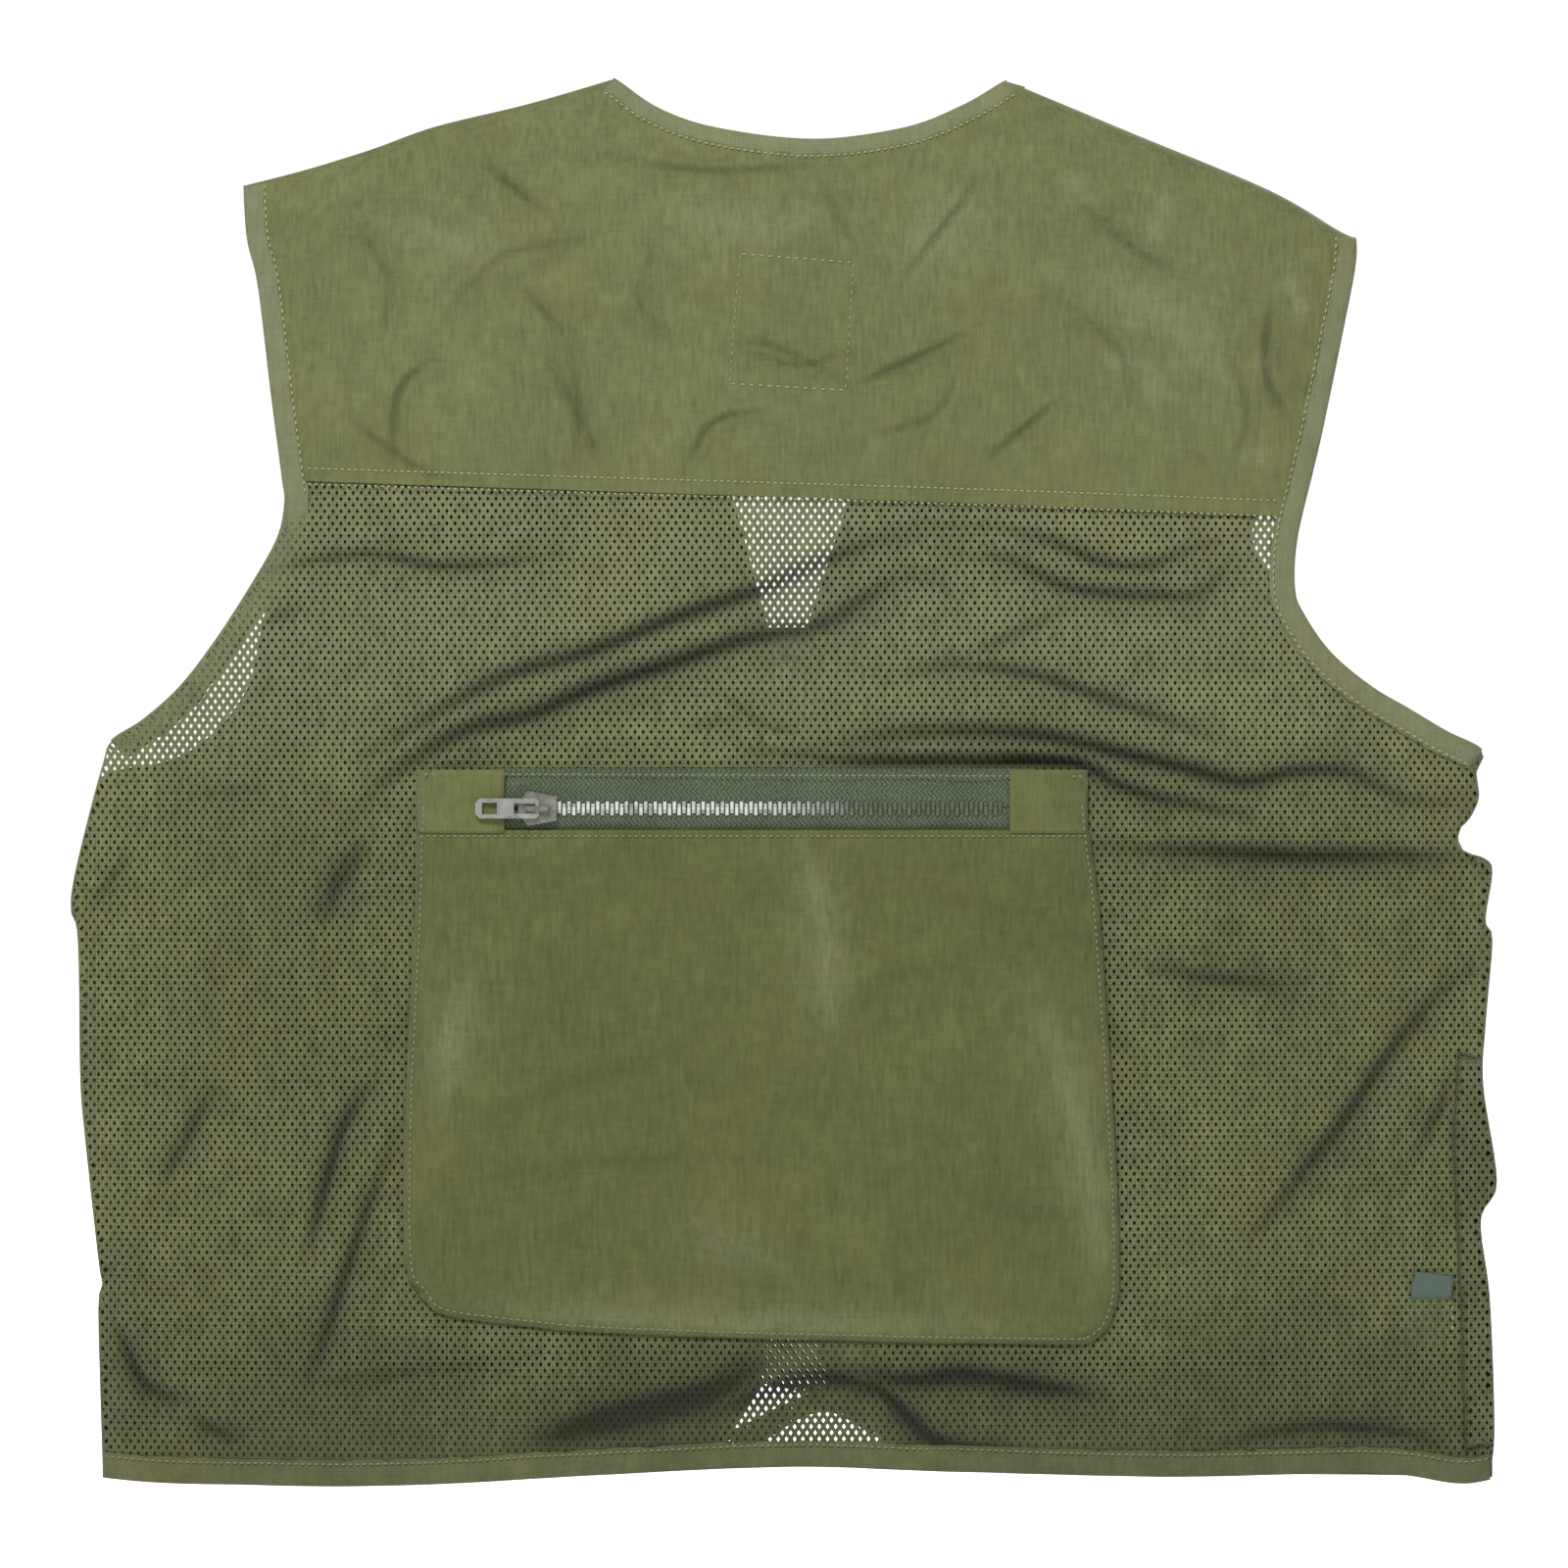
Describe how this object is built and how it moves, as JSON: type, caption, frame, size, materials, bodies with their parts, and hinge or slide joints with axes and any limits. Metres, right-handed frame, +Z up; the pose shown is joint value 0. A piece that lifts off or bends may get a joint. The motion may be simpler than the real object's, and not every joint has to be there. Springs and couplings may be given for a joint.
{
  "type": "fishing vest",
  "caption": "Sleeveless olive fishing vest with a woven yoke over mesh panels, bound armholes, a zipped back pocket, a front zip and flapped front pockets.",
  "frame": {"origin": "middle of the neck opening on the line joining the two shoulder points, midway between back and front, where a hanger or shoulders hold the vest", "axes": "+Z up the vest towards the neck, back panel faces -Y, front faces +Y, +X towards the wearer's right arm"},
  "size_m": [0.6271, 0.0792, 0.617],
  "materials": {
    "woven_cloth": "plain-woven olive poly-cotton, matt",
    "mesh_cloth": "olive polyester mesh knit with staggered holes, matt",
    "pocket_cloth": "plain-woven olive poly-cotton, matt",
    "front_pocket_cloth": "plain-woven olive poly-cotton, matt",
    "binding_tape": "grey-green folded binding tape",
    "hem_tape": "olive folded binding tape",
    "seam_tape": "olive seam tape",
    "label_cloth": "blank woven label",
    "care_label_cloth": "blank satin label",
    "zip_tape": "herringbone-woven zip tape",
    "zip_teeth": "moulded plastic teeth",
    "zip_metal": "worn nickel-plated zinc",
    "puller_metal": "worn nickel-plated zinc",
    "stop_metal": "dull crimped metal",
    "box_plastic": "moulded plastic",
    "loop_tape": "loop tape",
    "hook_tape": "hook tape"
  },
  "bodies": {
    "vest": {"back_yoke": "woven_cloth", "left_front_yoke": "woven_cloth", "right_front_yoke": "woven_cloth", "left_placket": "woven_cloth", "right_placket": "woven_cloth", "back_mesh_panel": "mesh_cloth", "left_front_mesh_panel": "mesh_cloth", "right_front_mesh_panel": "mesh_cloth", "back_pocket_panel": "pocket_cloth", "back_pocket_left_patch": "pocket_cloth", "back_pocket_right_patch": "pocket_cloth", "back_neck_binding": "binding_tape", "left_neck_binding": "binding_tape", "right_neck_binding": "binding_tape", "left_armhole_binding": "binding_tape", "right_armhole_binding": "binding_tape", "back_hem_binding": "hem_tape", "left_front_hem_binding": "hem_tape", "right_front_hem_binding": "hem_tape", "left_side_seam_tape": "seam_tape", "right_side_seam_tape": "seam_tape", "left_shoulder_tape": "seam_tape", "right_shoulder_tape": "seam_tape", "yoke_label": "label_cloth", "care_label": "care_label_cloth", "back_zip_upper_tape": "zip_tape", "back_zip_lower_tape": "zip_tape", "front_zip_left_tape": "zip_tape", "front_zip_right_tape": "zip_tape", "back_zip_upper_teeth": "zip_teeth", "back_zip_lower_teeth": "zip_teeth", "front_zip_left_teeth": "zip_teeth", "front_zip_right_teeth": "zip_teeth", "back_zip_upper_stop": "stop_metal", "back_zip_lower_stop": "stop_metal", "back_zip_end_stop": "stop_metal", "front_zip_left_stop": "stop_metal", "front_zip_right_stop": "stop_metal", "front_zip_pin": "stop_metal", "front_zip_box": "box_plastic", "left_chest_pocket": "front_pocket_cloth", "left_chest_loop_strip": "loop_tape", "left_lower_pocket": "front_pocket_cloth", "left_lower_loop_strip": "loop_tape", "right_chest_pocket": "front_pocket_cloth", "right_chest_loop_strip": "loop_tape", "right_lower_pocket": "front_pocket_cloth", "right_lower_loop_strip": "loop_tape"},
    "back_slider": {"back_zip_slider": "zip_metal"},
    "back_puller": {"back_zip_puller": "puller_metal"},
    "front_slider": {"front_zip_slider": "zip_metal"},
    "front_puller": {"front_zip_puller": "puller_metal"},
    "left_chest_flap": {"left_chest_flap": "front_pocket_cloth", "left_chest_hook_strip": "hook_tape"},
    "left_lower_flap": {"left_lower_flap": "front_pocket_cloth", "left_lower_hook_strip": "hook_tape"},
    "right_chest_flap": {"right_chest_flap": "front_pocket_cloth", "right_chest_hook_strip": "hook_tape"},
    "right_lower_flap": {"right_lower_flap": "front_pocket_cloth", "right_lower_hook_strip": "hook_tape"}
  },
  "joints": [
    {"name": "back_zip_slide", "type": "slide", "parent": "vest", "child": "back_slider", "axis": [1, 0, 0], "range_m": [0, 0.195], "deforming": ["back_zip_upper_teeth", "back_zip_lower_teeth"]},
    {"name": "back_puller_hinge", "type": "hinge", "parent": "back_slider", "child": "back_puller", "pos_m": [-0.1145, -0.03365, -0.3225], "axis": [0, 0, 1], "range_deg": [0, 170]},
    {"name": "front_zip_slide", "type": "slide", "parent": "vest", "child": "front_slider", "axis": [0, 0, -1], "range_m": [0, 0.26], "deforming": ["front_zip_left_teeth", "front_zip_right_teeth"]},
    {"name": "front_puller_hinge", "type": "hinge", "parent": "front_slider", "child": "front_puller", "pos_m": [-0.005, 0.02665, -0.2535], "axis": [1, 0, 0], "range_deg": [0, 170]},
    {"name": "left_chest_flap_hinge", "type": "hinge", "parent": "vest", "child": "left_chest_flap", "pos_m": [-0.12503, 0.02172, -0.181], "axis": [0.9985, 0.0541, 0], "range_deg": [0, 88]},
    {"name": "left_lower_flap_hinge", "type": "hinge", "parent": "vest", "child": "left_lower_flap", "pos_m": [-0.18005, 0.01809, -0.347], "axis": [0.997, 0.0779, 0], "range_deg": [0, 88]},
    {"name": "right_chest_flap_hinge", "type": "hinge", "parent": "vest", "child": "right_chest_flap", "pos_m": [0.11503, 0.02224, -0.181], "axis": [0.9988, -0.0498, 0], "range_deg": [0, 88]},
    {"name": "right_lower_flap_hinge", "type": "hinge", "parent": "vest", "child": "right_lower_flap", "pos_m": [0.17004, 0.01885, -0.347], "axis": [0.9973, -0.0736, 0], "range_deg": [0, 88]}
  ]
}
